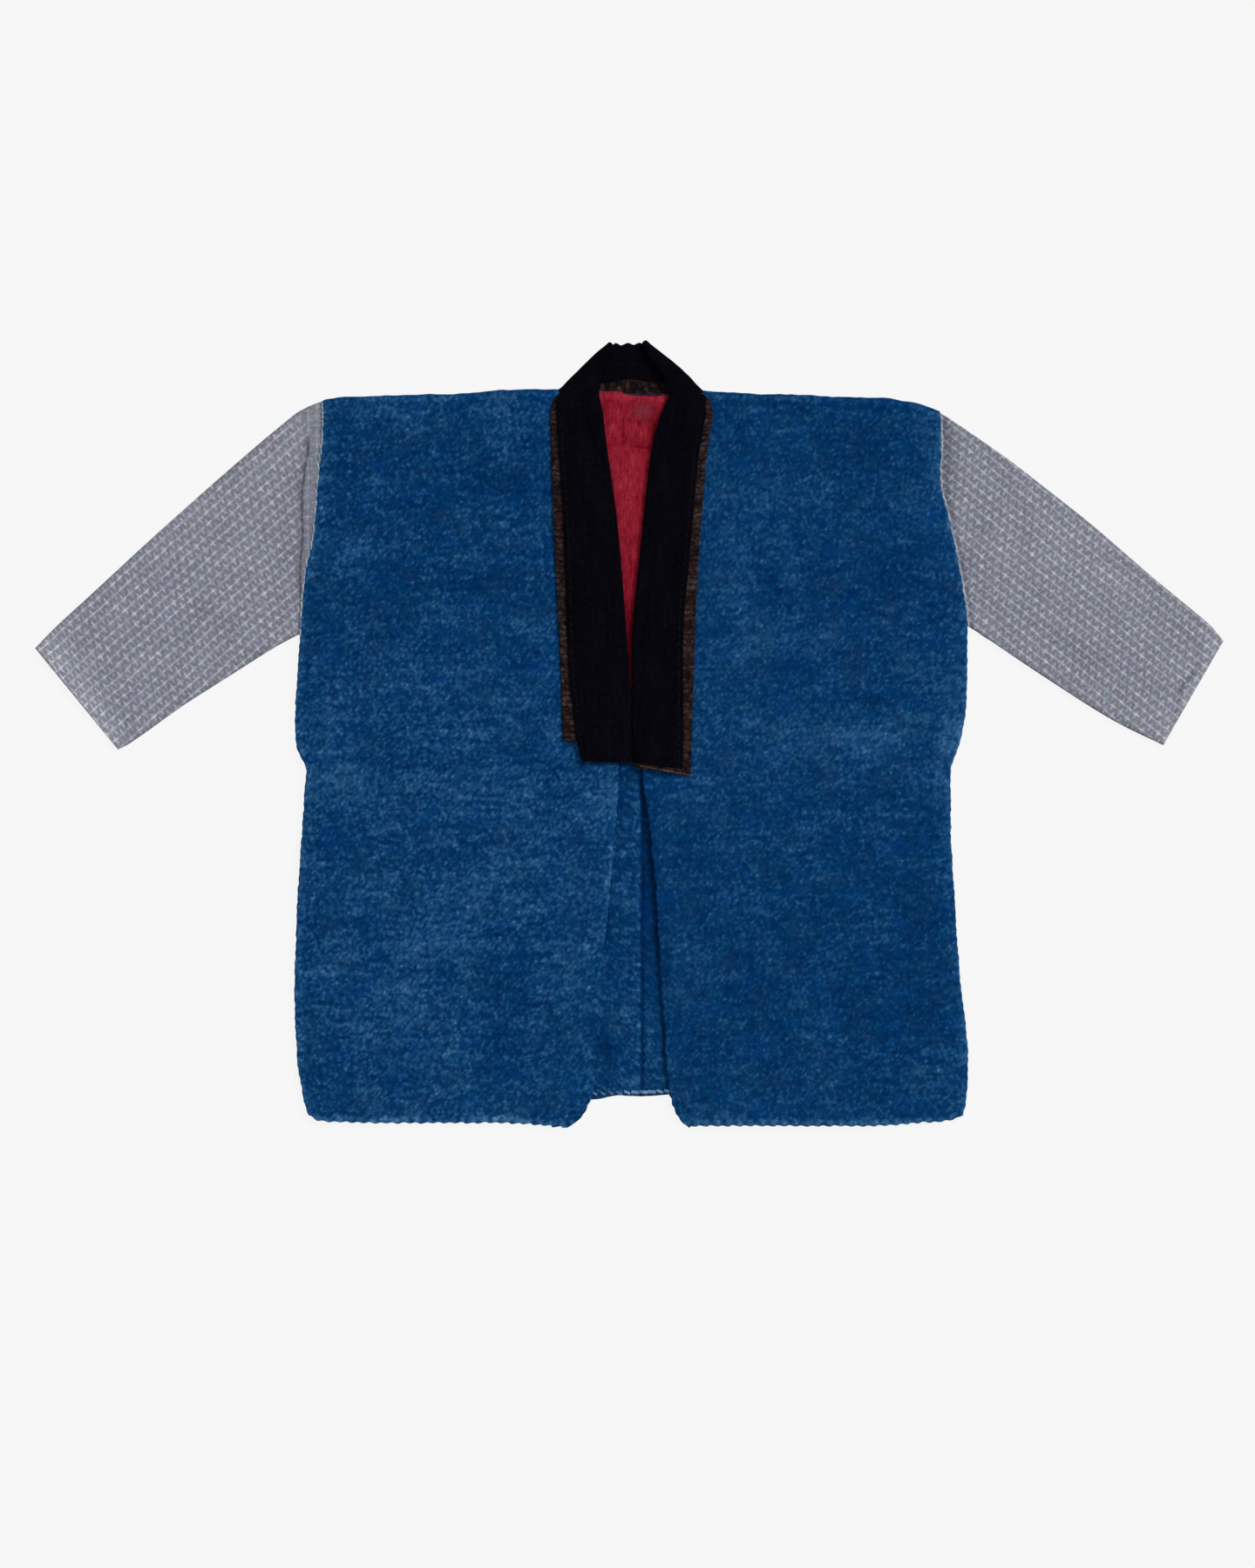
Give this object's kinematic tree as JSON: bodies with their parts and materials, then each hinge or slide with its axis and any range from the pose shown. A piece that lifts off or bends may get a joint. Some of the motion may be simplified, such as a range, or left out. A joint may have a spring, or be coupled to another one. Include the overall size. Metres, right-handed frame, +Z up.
{
  "type": "quilted noragi work coat laid flat",
  "caption": "Quilted indigo cotton work coat with grey checked sleeves and a black-covered brown collar, laid flat with its fronts open over a red neck lining.",
  "frame": {"origin": "the middle of the coat's outline, on the surface that its back rests on", "axes": "+X across the coat towards the wearer's left sleeve, +Y along the back towards the collar, +Z up, out of the fronts"},
  "size_m": [1.228, 0.8119, 0.013],
  "materials": {
    "indigo_quilt": "matt quilted cotton",
    "grey_check": "matt woven cotton with a small check",
    "brown_cotton": "matt woven cotton",
    "black_nap": "soft short nap",
    "crimson_cotton": "plain cotton"
  },
  "bodies": {
    "root": {"body_right": "indigo_quilt", "body_left": "indigo_quilt", "sleeve_right": "grey_check", "sleeve_left": "grey_check", "neck_lining": "crimson_cotton", "under_collar": "brown_cotton", "collar_cover": "black_nap"}
  },
  "joints": []
}
